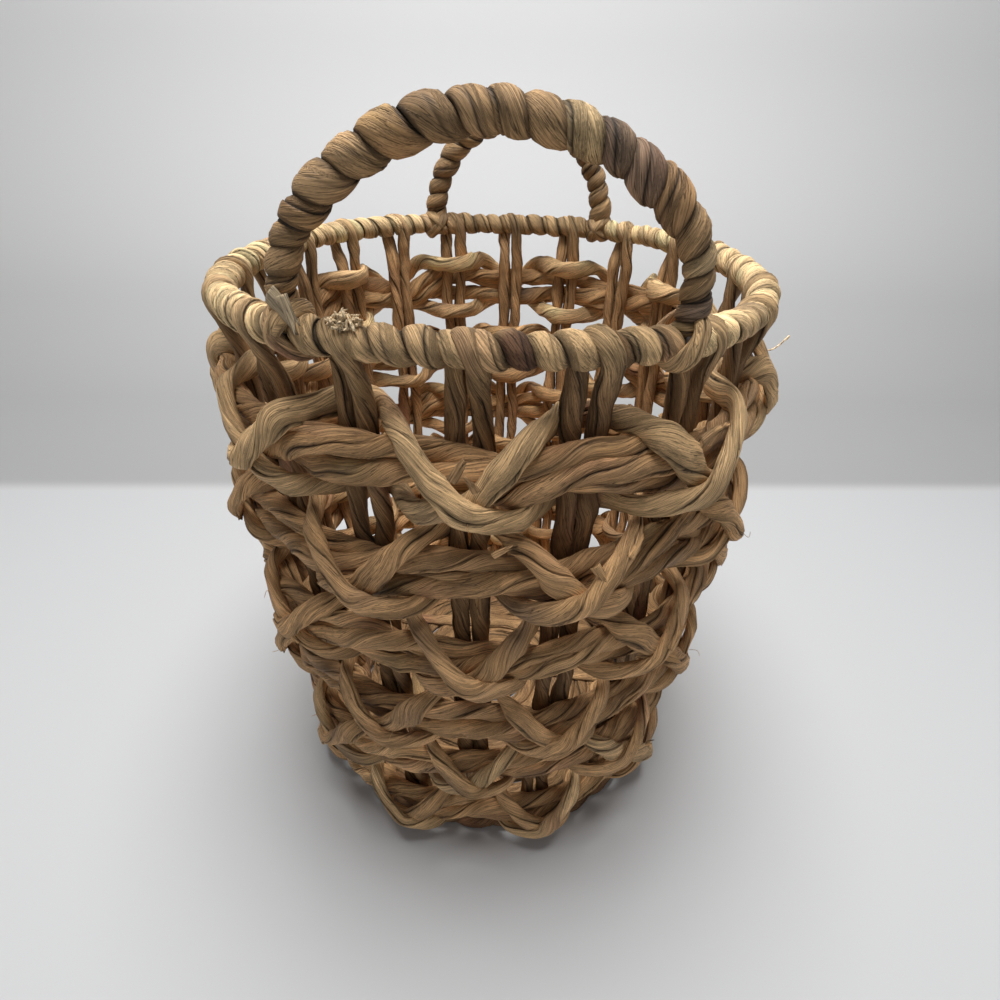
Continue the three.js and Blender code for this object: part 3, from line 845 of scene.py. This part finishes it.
def handle_line(place):
    """Centreline of a handle, left to right."""
    middle, half_span = handle_span(place)
    rise = box_of(f"handle_wrap_{place}")[1][2] - WINDING_REACH - RIM_HEIGHT
    left, right = (around(foot, RIM_HALF_WIDTH, RIM_HEIGHT)[0][1] for foot in FEET[place])
    ends = [math.acos((LINE_START / rise) ** (roundness / 2)) for roundness in HANDLE_ROUNDNESS[place]]
    angle = np.linspace(-ends[0], ends[1], LINE_POINTS)
    roundness = np.where(angle < 0, *HANDLE_ROUNDNESS[place])
    height = np.cos(angle) ** (2 / roundness)
    x = np.sign(angle) * half_span * np.sin(np.abs(angle)) ** (2 / roundness)
    y = left + (right - left) * (x / half_span + 1) / 2
    bow = np.where(angle < 0, *HANDLE_BOW[place]) * np.sin(math.pi * height)
    return np.stack([x + middle + bow, y, RIM_HEIGHT + rise * height], axis=1)


def wire_hook(foot):
    """The end of a handle's wire, from outside the hoop to under it and up behind it."""
    centre, out = around(foot, RIM_HALF_WIDTH, RIM_HEIGHT)
    turn = np.radians(np.linspace(0, HOOK_TURN, 16))[:, None]
    return centre + (out * np.cos(turn) - UP * np.sin(turn)) * HOOK_RADIUS


def make_handle_wire(place, finish):
    line = handle_line(place)
    arch = line[line[:, 2] > RIM_HEIGHT + ARCH_START]
    left, right = (wire_hook(foot) for foot in FEET[place])
    _, (route,) = resample(np.concatenate([left[::-1], arch, right]), WIRE_STEP)
    route = smooth(route, WIRE_SMOOTHING)
    side, away = frame_along(route, np.broadcast_to(BACKWARD, route.shape))
    turn = np.linspace(0, TAU, WIRE_SIDES, endpoint=False)[:, None]
    reach = side[:, None] * np.cos(turn) + away[:, None] * np.sin(turn)
    points = route[:, None] + reach * WIRE_RADIUS
    blank = np.zeros(points.shape)
    piece = tube_object(f"handle_core_{place}", points, blank, blank[..., 0], blank)
    settle(piece, "wire", f"handle_wire_{place}", finish=finish)


def make_handles():
    for k, place in enumerate(("front", "back")):
        rng = dice("handle", k)
        length, (line,) = resample(handle_line(place), 0.5 * MM)
        arch_out = np.cross(unit(np.gradient(line, axis=0)), BACKWARD)

        def core(share):
            point, out = (read_off(share * length[-1], length, rows) for rows in (line, arch_out))
            return point, out, BACKWARD

        make_winding(f"handle_winding_{place}", f"handle_wrap_{place}", core, length[-1],
                     HANDLE_TURNS[place], HANDLE_WINDING[place], HANDLE_LOBE_OVERLAP, rng,
                     TAN * 0.65 + STRAW * 0.15, LEG_THINNING[place],
                     HANDLE_MARKS if place == "front" else ())


# Lashings where the handles stand on the rim: each a loop round the joint, given by its lean in
# degrees from upright to the left as seen from outside, and its half width, half height and rise
# in millimetres
LASHINGS = {
    ("front", 0): [(42, 4.4, 9.6, -0.5), (-34, 4.0, 9.4, 1.5)],
    ("front", 1): [(-30, 5.4, 9.8, 0.5)],
    ("back", 0): [(40, 4.0, 9.2, 0.0), (-38, 3.6, 8.8, 1.0)],
    ("back", 1): [(38, 4.0, 9.2, 0.0), (-40, 3.6, 8.8, 1.0)],
}
LASHING_REACH = 8.6 * MM
LASHING_HALF_DEPTH = 2.3 * MM
LASHING_TURNS = 1.06


def make_lashings():
    for (place, side), loops in LASHINGS.items():
        centre, out = around(FEET[place][side], RIM_HALF_WIDTH, RIM_HEIGHT)
        along = np.cross(UP, out)
        for k, (lean, half_width, half_height, rise) in enumerate(loops):
            rng = dice("lashing", len(place), side, k)
            lean = math.radians(lean)
            climb = UP * math.cos(lean) - along * math.sin(lean)
            turn = np.linspace(0, TAU * LASHING_TURNS, 90)[:, None] + rng.uniform(2.6, 3.6)
            away = out * np.cos(turn) + climb * np.sin(turn)
            reach = np.hypot(np.cos(turn) * LASHING_REACH, np.sin(turn) * half_height * MM)
            spine = centre + UP * rise * MM + away * reach
            piece = strand(f"lashing_{place}_{side + 1}_{k + 1}", spine, away, half_width * MM,
                           LASHING_HALF_DEPTH, rng, TAN * 0.6 + STRAW * 0.4, twist=0.02, slant=0.07,
                           fold_depth=0.2, step=WINDING_STEP)
            settle(piece, "winding")


# Base: an edge ring of strands that turn round each other, a floor coiled from one strand whose
# last loop lies against the ring, and stays laid across it
RING_STRANDS = 3
RING_TURNS = 11
RING_SPREAD = 5.0 * MM
RING_MIDDLE = 4.6 * MM
RING_LIFT = 1.6 * MM
RING_LAP = 0.015
FLOOR_LOOPS = 8
EDGE_LOOP = 0.97
FLOOR_START = 10 * MM
FLOOR_PRESS = 0.8 * MM
FLOOR_WIDENING = 1.22
STAYS = 3


def make_base():
    u = np.linspace(0, 1 + RING_LAP, 500)
    for k in range(RING_STRANDS):
        rng = dice("ring", k)
        phase = TAU * (u * RING_TURNS + k / RING_STRANDS)
        z = RING_MIDDLE + RING_LIFT * np.sin(phase)
        point, out = around(u, BASE_HALF_WIDTH, z, RING_SPREAD * np.cos(phase))
        piece = strand(f"base_ring_strand_{k + 1}", point, out, *RING_STRAND, rng, BROWN,
                       twist=0.05, floor=0.0)
        settle(piece, "floor", *(("base_ring",) if k == 0 else ()))

    low, high = box_of("floor_coil")
    outermost = BASE_HALF_WIDTH - RING_HALF_WIDTH - FLOOR_STRAND[0]
    rng = dice("floor")
    turn = np.linspace(0, FLOOR_LOOPS + EDGE_LOOP, 1800)
    half_width = FLOOR_START + (outermost - FLOOR_START) * turn / FLOOR_LOOPS
    half_width = np.minimum(half_width, outermost + FLOOR_PRESS)
    point, _ = around(turn, half_width, (low[2] + high[2]) / 2)
    piece = strand("floor_coil_strand", point, UP, FLOOR_STRAND[0] * FLOOR_WIDENING, FLOOR_STRAND[1],
                   rng, KHAKI, twist=0.02, step=3.6 * MM)
    settle(piece, "floor", "floor_coil")

    for k in range(1, STAYS + 1):
        low, high = box_of(f"floor_stay_{k}")
        rng = dice("stay", k)
        line = np.linspace(low, high, 80)
        line[:, 1:] = (low[1:] + high[1:]) / 2
        line[:, 1] += 1.5 * MM * drift(rng, line[:, 0], 100 * MM)
        piece = strand(f"floor_stay_strand_{k}", line, UP, *STAY, rng, TAN, twist=0.0)
        settle(piece, "floor", f"floor_stay_{k}")


# Loose bits: torn ends of leaf, a tuft of pith and fine hairs
LEAF_COLUMNS = 13
LEAF_THICKNESS = 0.4 * MM
LEAF_STEP = 1.1 * MM
LEAF_NARROWING = 0.6
LEAF_RIPPLE = 0.25 * MM
UNDERSIDE_FIBRE = 3.0
WISP_SIDES = 5
WISP_STEP = 0.5 * MM
WISP_TAPER = (2.0, 8.0)


def leaf(name, route, outward, half_width, rng, base, curl=0.35, ragged=0.55):
    """A closed sheet of leaf along a route, its last end torn and its edges curled inward."""
    along, (route, outward) = resample(route, LEAF_STEP, outward)
    side, outward = frame_along(route, outward)
    across = np.linspace(-1, 1, LEAF_COLUMNS)
    share = np.linspace(0, 1, len(along))
    teeth = 0.5 + 0.5 * np.sin(across * rng.uniform(2, 4) + rng.uniform(0, 6))
    torn = 1 - ragged * (0.65 * teeth + 0.35 * rng.uniform(0, 1, LEAF_COLUMNS))
    place = share[:, None] * torn * along[-1]
    point, beside, above = (read_off(place, along, rows) for rows in (route, side, outward))
    width = half_width * (1 - LEAF_NARROWING * share[:, None] ** 2) * across
    ripple = LEAF_RIPPLE * np.sin(across * 7 + rng.uniform(0, 6)) * share[:, None]
    rise = ripple - curl * half_width * across ** 2
    middle = point + beside * width[..., None] + above * rise[..., None]
    edge = above * LEAF_THICKNESS / 2
    points = np.concatenate([middle + edge, (middle - edge)[:, ::-1]], axis=1)
    layers = np.concatenate([width, width[:, ::-1]], axis=1) / MM
    depth = np.repeat([0.0, UNDERSIDE_FIBRE], LEAF_COLUMNS) + np.zeros_like(layers)
    length = np.concatenate([place, place[:, ::-1]], axis=1) / MM + rng.uniform(0, STRAND_SHIFT)
    fibre = np.stack([layers, depth, length], axis=-1)
    # Painted shade towards the sheet's curled edges
    painted_shade = np.clip(np.abs(np.tile(across, 2)) - 0.75, 0, 1) + np.zeros_like(layers)
    colour = base * rng.uniform(0.8, 1.25) + np.zeros((*layers.shape, 3))
    return tube_object(name, points, fibre, painted_shade, colour)


def wisp(name, route, radius, rng, base):
    """A closed hair along a route."""
    along, (route,) = resample(route, WISP_STEP)
    side, above = frame_along(route, rng.normal(size=3) + np.zeros_like(route))
    angle = (np.arange(WISP_SIDES) * TAU / WISP_SIDES)[:, None]
    reach = (radius * end_profile(along, radius, WISP_TAPER))[:, None, None]
    points = route[:, None] + (np.cos(angle) * side[:, None] + np.sin(angle) * above[:, None]) * reach
    return tube_object(name, points, points / MM, np.zeros(points.shape[:2]), base + np.zeros_like(points))


def join(pieces, name):
    """One object out of several closed pieces, given its finish and body."""
    with bpy.context.temp_override(active_object=pieces[0], selected_editable_objects=pieces):
        bpy.ops.object.join()
    pieces[0].name = name
    settle(pieces[0], "wrapper")


def lay(u, z, seat, lean, length, lift):
    """A short route over the weave from a place on it, leaning from level and lifting off at its end."""
    start, out = around(u, stake_half_width(z), z, seat)
    lean = math.radians(lean)
    ahead = np.cross(UP, out) * math.cos(lean) + UP * math.sin(lean)
    share = np.linspace(0, 1, 30)[:, None]
    route = start + ahead * length * share + out * lift * share ** 3
    return route, out + np.zeros_like(route)


# Torn ends seen in the photograph: place round the oval, height and seat in millimetres, lean in
# degrees from level, and length, half width and lift in millimetres. The last ones are pale, at the
# front handle's left foot.
TORN_ENDS = [
    (0.0900, 305, 22.0, 30, 13, 3.0, 2.5),
    (0.0940, 303, 22.0, 62, 11, 1.8, 2.5),
    (-0.0030, 300, 27.5, 62, 12, 2.0, 2.5),
    (0.0060, 296, 27.5, 118, 10, 1.6, 3.0),
    (0.0120, 265, 24.5, 35, 12, 1.5, 2.0),
    (0.0520, 257, 24.0, -58, 15, 2.2, 2.5),
    (0.1340, 48, 20.0, -24, 17, 3.2, 4.0),
    (0.1380, 46, 21.0, 12, 12, 2.2, 5.0),
    (-0.0735, 354, 8.0, -38, 18, 4.2, 1.5),
    (-0.0660, 355, 9.0, -70, 14, 2.6, 1.5),
]
PALE_ENDS = 2

# Edges of leaf that peel off the wrappers: how many on each, and their least distance from its
# ends and their lengths in route steps
PEELS = 4
PEEL_MARGINS = (40, 60)
PEEL_STEPS = (9, 16)
PEEL_SEAT = WRAPPER[1] * 0.92 + 0.7 * MM


def make_torn_leaf(routes, rng):
    torn = []
    for k, (u, z, seat, lean, length, half_width, lift) in enumerate(TORN_ENDS):
        route, out = lay(u, z * MM, seat * MM, lean, length * MM, lift * MM)
        base = TAN * 1.1 if k < len(TORN_ENDS) - PALE_ENDS else PITH * 0.7
        torn.append(leaf(f"torn_end_{k}", route, out, half_width * MM, rng, base))
    for k, (point, out, base) in enumerate(routes):
        for j in range(PEELS):
            first = rng.integers(PEEL_MARGINS[0], len(point) - PEEL_MARGINS[1])
            count = rng.integers(*PEEL_STEPS)
            span = slice(first, first + count)
            lift = PEEL_SEAT + np.linspace(0, 1, count)[:, None] ** 3 * rng.uniform(1, 3) * MM
            half_width = WRAPPER[0] * rng.uniform(0.45, 0.75)
            torn.append(leaf(f"peel_{k}_{j}", point[span] + out[span] * lift, out[span], half_width, rng,
                             base[first], curl=0.42, ragged=0.45))
    join(torn, "torn_leaf")


# Hairs on the wrappers: their least distance from its ends in route steps, and their lengths in
# millimetres. One pale curl hangs at the front right.
HAIRS = 55
HAIR_MARGIN = 20
HAIR_LENGTHS = (4, 11)
CURL_PLACE = (0.1257, 333 * MM, 15 * MM)
CURL_TURN = 4.6
CURL_REACH, CURL_RUN, CURL_LIFT = 5 * MM, 1.5 * MM, 2.8 * MM


def make_hairs(routes, rng):
    hairs = []
    for k in range(HAIRS):
        point, out, _ = routes[rng.integers(0, len(routes))]
        at = rng.integers(HAIR_MARGIN, len(point) - HAIR_MARGIN)
        swing = rng.normal(size=3)
        share = np.linspace(0, 1, 14)[:, None]
        length = rng.uniform(*HAIR_LENGTHS) * MM
        start = point[at] + out[at] * WRAPPER[1] * 0.8
        bend = rng.normal(size=3) * 0.35 * length * np.sin(math.pi * share)
        route = start + (out[at] * 0.6 + swing * 0.4) * length * share + bend
        hairs.append(wisp(f"hair_{k}", route, rng.uniform(0.1, 0.17) * MM, rng, TAN * 1.2))
    u, z, seat = CURL_PLACE
    start, out = around(u, stake_half_width(z), z, seat)
    turn = np.linspace(0, CURL_TURN, 40)[:, None]
    route = start + out * CURL_REACH * np.sin(turn / 2) + np.cross(UP, out) * CURL_RUN * turn \
        + UP * CURL_LIFT * (1 - np.cos(turn))
    hairs.append(wisp("hair_curl", route, 0.35 * MM, rng, PITH * 1.2))
    join(hairs, "hairs")


# Tuft of pith on the front rim: wisps scattered by millimetres along, out of and up from its place
TUFT_PLACE = (-0.0455, 347 * MM, 3.0 * MM)
TUFT_WISPS = 130
TUFT_SCATTER = np.array([2.8, 1.3, 1.3])
TUFT_LIMIT = 1.6


def make_pith_tuft(rng):
    tuft = []
    u, z, seat = TUFT_PLACE
    centre, out = around(u, RIM_HALF_WIDTH, z, seat)
    beside = np.cross(UP, out)
    for k in range(TUFT_WISPS):
        offset = np.clip(rng.normal(size=3), -TUFT_LIMIT, TUFT_LIMIT) * TUFT_SCATTER * MM
        start = centre + beside * offset[0] + out * offset[1] + UP * offset[2]
        share = np.linspace(0, 1, 12)[:, None]
        bend, reach = rng.normal(size=3), rng.normal(size=3)
        route = start + reach * 1.2 * MM * share + bend * 0.8 * MM * np.sin(math.pi * 1.5 * share)
        radius = rng.uniform(0.4, 0.7) * MM
        tuft.append(wisp(f"pith_{k}", route, radius, rng, PITH * rng.uniform(0.8, 1.15)))
    join(tuft, "pith_tuft")


def make_loose_bits(routes):
    rng = dice("loose")
    make_torn_leaf(routes, rng)
    make_hairs(routes, rng)
    make_pith_tuft(rng)


def finish_wires():
    finish = wire_material()
    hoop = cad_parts["rim_hoop"]
    hoop.data.materials.clear()
    hoop.data.materials.append(finish)
    for place in ("front", "back"):
        make_handle_wire(place, finish)


# Camera, at the photograph's viewing angle: its turns are in degrees
FOCAL_PIXELS = 580.0
IMAGE_PIXELS = 1000.0
SENSOR_WIDTH = 36
CLIP_START = 0.01
CAMERA_PLACE = (23.6 * MM, -344.4 * MM, 404.5 * MM)
CAMERA_YAW, CAMERA_PITCH, CAMERA_ROLL = -3.15, 32.87, 1.36


def make_camera():
    yaw, pitch, roll = (math.radians(angle) for angle in (CAMERA_YAW, CAMERA_PITCH, CAMERA_ROLL))
    level = math.cos(pitch)
    forward = np.array([math.sin(yaw) * level, math.cos(yaw) * level, -math.sin(pitch)])
    right = unit(np.cross(forward, UP))
    above = np.cross(right, forward)
    right, above = (math.cos(roll) * right + math.sin(roll) * above,
                    -math.sin(roll) * right + math.cos(roll) * above)
    data = bpy.data.cameras.new("camera")
    data.sensor_width = SENSOR_WIDTH
    data.lens = SENSOR_WIDTH * FOCAL_PIXELS / IMAGE_PIXELS
    data.clip_start = CLIP_START
    camera = add_to_scene(bpy.data.objects.new("camera", data))
    matrix = Matrix([list(row) for row in np.stack([right, above, -forward], axis=1)]).to_4x4()
    matrix.translation = Vector(CAMERA_PLACE)
    camera.matrix_world = matrix
    bpy.context.scene.camera = camera


# The stage, in metres: a floor, and from a line behind the basket a backdrop, darkened by painted
# shade, that sweeps up to a wall. The backdrop's painted shades go with how far back it lies.
STAGE_TURN = math.radians(5.6)
STAGE_HALF_WIDTH = 4.0
STAGE_FRONT = -4.0
BACKDROP_LINE = 0.303
SWEEP_START = 0.60
SWEEP_RADIUS = 0.55
SWEEP_END = SWEEP_START + SWEEP_RADIUS
WALL_HEIGHT = 3.0
FLOOR_COLOUR = (0.585, 0.59, 0.595, 1)
FLOOR_ROUGHNESS = 0.85
BACKDROP_ROUGHNESS = 0.9
PAINTED_BACKDROP_SHADES = ((BACKDROP_LINE, 0.588), (0.309, 0.555), (0.322, 0.43), (0.330, 0.40),
                   (SWEEP_START, 0.45), (0.92, 0.60), (SWEEP_END, 0.86))

# Light: one broad lamp overhead, and the world, whose strength is other where the camera, gloss or
# glass sees it than where it lights the scene
LAMP_PLACE = Vector((0.0, -0.02, 1.7))
LAMP_TARGET = Vector((0.0, 0.0, 0.2))
LAMP_SIZE = 1.0
LAMP_POWER = 31
WORLD_COLOUR = (0.97, 0.98, 1.0, 1)
WORLD_LIGHT = 0.20
WORLD_SEEN = 0.6


def sheet(name, section):
    """A matte sheet drawn along X from a section of (y, z) points, then turned about Z."""
    across = np.array([math.cos(STAGE_TURN), math.sin(STAGE_TURN), 0]) * STAGE_HALF_WIDTH
    back = np.array([-math.sin(STAGE_TURN), math.cos(STAGE_TURN), 0])
    corners = [across * side + back * y + UP * z for y, z in section for side in (-1, 1)]
    faces = [(2 * k, 2 * k + 1, 2 * k + 3, 2 * k + 2) for k in range(len(section) - 1)]
    mesh = bpy.data.meshes.new(name)
    mesh.from_pydata(corners, [], faces)
    mesh.polygons.foreach_set("use_smooth", [True] * len(faces))
    # Painted shade by how far back each row lies; only the backdrop reads it
    shade = np.interp(np.repeat([y for y, _ in section], 2), *np.transpose(PAINTED_BACKDROP_SHADES))
    set_attribute(mesh, "shade", "FLOAT", "value", shade)
    material, tree, shader = new_material(f"{name}_finish")
    mesh.materials.append(material)
    add_to_scene(bpy.data.objects.new(name, mesh))
    return tree, shader


def make_lamp():
    data = bpy.data.lights.new("lamp_top", "AREA")
    data.shape = "DISK"
    data.size = LAMP_SIZE
    data.energy = LAMP_POWER
    lamp = add_to_scene(bpy.data.objects.new("lamp_top", data))
    lamp.location = LAMP_PLACE
    lamp.rotation_euler = (LAMP_TARGET - LAMP_PLACE).to_track_quat("-Z", "Y").to_euler()


def make_world():
    world = bpy.data.worlds.new("world")
    bpy.context.scene.world = world
    world.use_nodes = True
    tree = world.node_tree
    ray = add_node(tree, "ShaderNodeLightPath", {}).outputs
    seen = ray["Is Camera Ray"]
    for kind in ("Is Glossy Ray", "Is Transmission Ray"):
        seen = add_node(tree, "ShaderNodeMath", {0: seen, 1: ray[kind]}, operation="MAXIMUM").outputs[0]
    strength = add_node(tree, "ShaderNodeMapRange",
                        {"Value": seen, "To Min": WORLD_LIGHT, "To Max": WORLD_SEEN})
    set_inputs(tree, tree.nodes["Background"],
               {"Color": WORLD_COLOUR, "Strength": strength.outputs["Result"]})


def make_stage():
    flat = [(y, 0.0) for y in np.linspace(BACKDROP_LINE, SWEEP_START, 60)[:-1]]
    sweep = [(SWEEP_START + SWEEP_RADIUS * math.sin(angle), SWEEP_RADIUS * (1 - math.cos(angle)))
             for angle in np.linspace(0, math.pi / 2, 25)]
    tree, shader = sheet("floor", [(STAGE_FRONT, 0), (BACKDROP_LINE, 0)])
    set_inputs(tree, shader, {"Base Color": FLOOR_COLOUR, "Roughness": FLOOR_ROUGHNESS})
    tree, shader = sheet("backdrop", [*flat, *sweep, (SWEEP_END, WALL_HEIGHT)])
    # Base colour from the backdrop's painted shade
    shade = add_node(tree, "ShaderNodeAttribute", {}, attribute_name="shade")
    set_inputs(tree, shader, {"Base Color": shade.outputs["Color"], "Roughness": BACKDROP_ROUGHNESS})
    make_lamp()
    make_world()


bpy.context.scene.view_settings.view_transform = "Standard"
make_camera()
make_stage()
make_stakes()
make_fillers()
wrapper_routes = make_wrappers()
make_rim()
make_handles()
make_lashings()
make_base()
make_loose_bits(wrapper_routes)
finish_wires()
